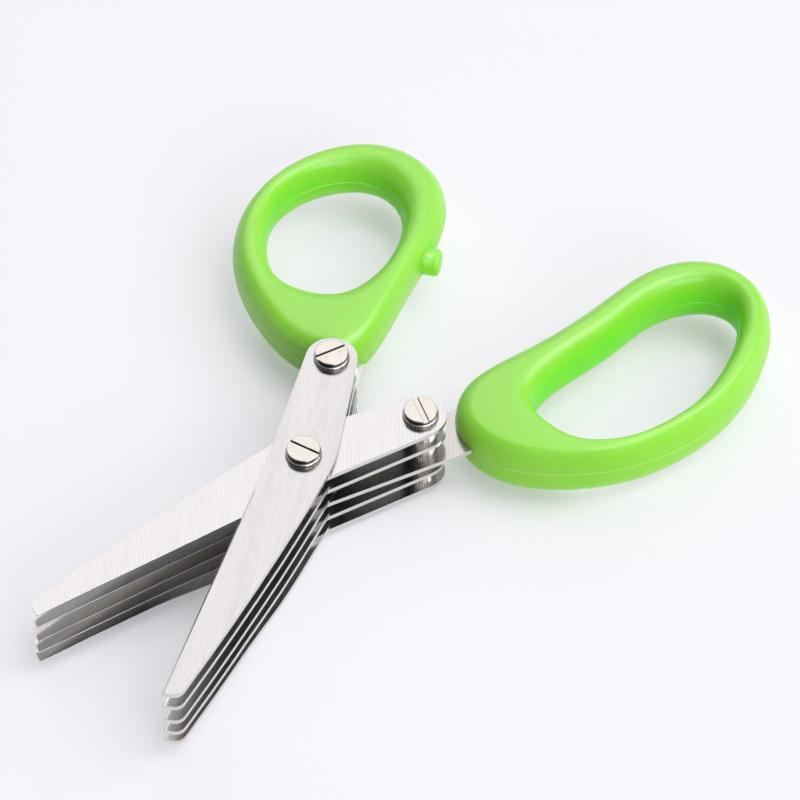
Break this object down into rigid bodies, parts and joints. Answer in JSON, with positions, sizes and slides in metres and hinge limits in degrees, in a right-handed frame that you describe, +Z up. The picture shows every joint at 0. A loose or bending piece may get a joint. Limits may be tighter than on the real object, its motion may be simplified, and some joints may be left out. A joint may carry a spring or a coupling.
{
  "type": "herb scissors",
  "caption": "Herb scissors: a stack of shearing blades on one pivot, clamped by slotted screws, with moulded green finger and thumb loops and a stop peg.",
  "frame": {"origin": "pivot axis, at the underside of the pivot's foot", "axes": "+Z up along the pivot axis, away from the surface the scissors lie on; +Y along the bisector of the two arms, towards the handles; tips towards -Y; finger loop on the +X side"},
  "size_m": [0.1269, 0.1837, 0.0254],
  "materials": {
    "blade_steel": "stainless steel plate with fine lengthwise brushing and bright ground edges",
    "fastener_steel": "turned stainless steel, bright",
    "green_plastic": "satin-gloss moulded polypropylene, bright green"
  },
  "bodies": {
    "finger_half": {"finger_blade_1": "blade_steel", "finger_blade_2": "blade_steel", "finger_blade_3": "blade_steel", "finger_blade_4": "blade_steel", "finger_blade_5": "blade_steel", "finger_handle": "green_plastic", "finger_screw": "fastener_steel", "finger_washer": "fastener_steel", "finger_barrel": "fastener_steel", "finger_spacer_1": "fastener_steel", "finger_spacer_2": "fastener_steel", "finger_spacer_3": "fastener_steel", "finger_spacer_4": "fastener_steel", "pivot_screw": "fastener_steel", "pivot_washer": "fastener_steel", "pivot_barrel": "fastener_steel", "pivot_spacer_1": "fastener_steel", "pivot_spacer_2": "fastener_steel", "pivot_spacer_3": "fastener_steel", "pivot_spacer_4": "fastener_steel"},
    "thumb_half": {"thumb_blade_1": "blade_steel", "thumb_blade_2": "blade_steel", "thumb_blade_3": "blade_steel", "thumb_blade_4": "blade_steel", "thumb_blade_5": "blade_steel", "thumb_handle": "green_plastic", "thumb_screw": "fastener_steel", "thumb_washer": "fastener_steel", "thumb_barrel": "fastener_steel", "thumb_spacer_1": "fastener_steel", "thumb_spacer_2": "fastener_steel", "thumb_spacer_3": "fastener_steel", "thumb_spacer_4": "fastener_steel"}
  },
  "joints": [
    {"name": "blade_pivot", "type": "hinge", "parent": "finger_half", "child": "thumb_half", "pos_m": [0, 0, 0.0127], "axis": [0, 0, 1], "range_deg": [-27.5, 105]}
  ]
}
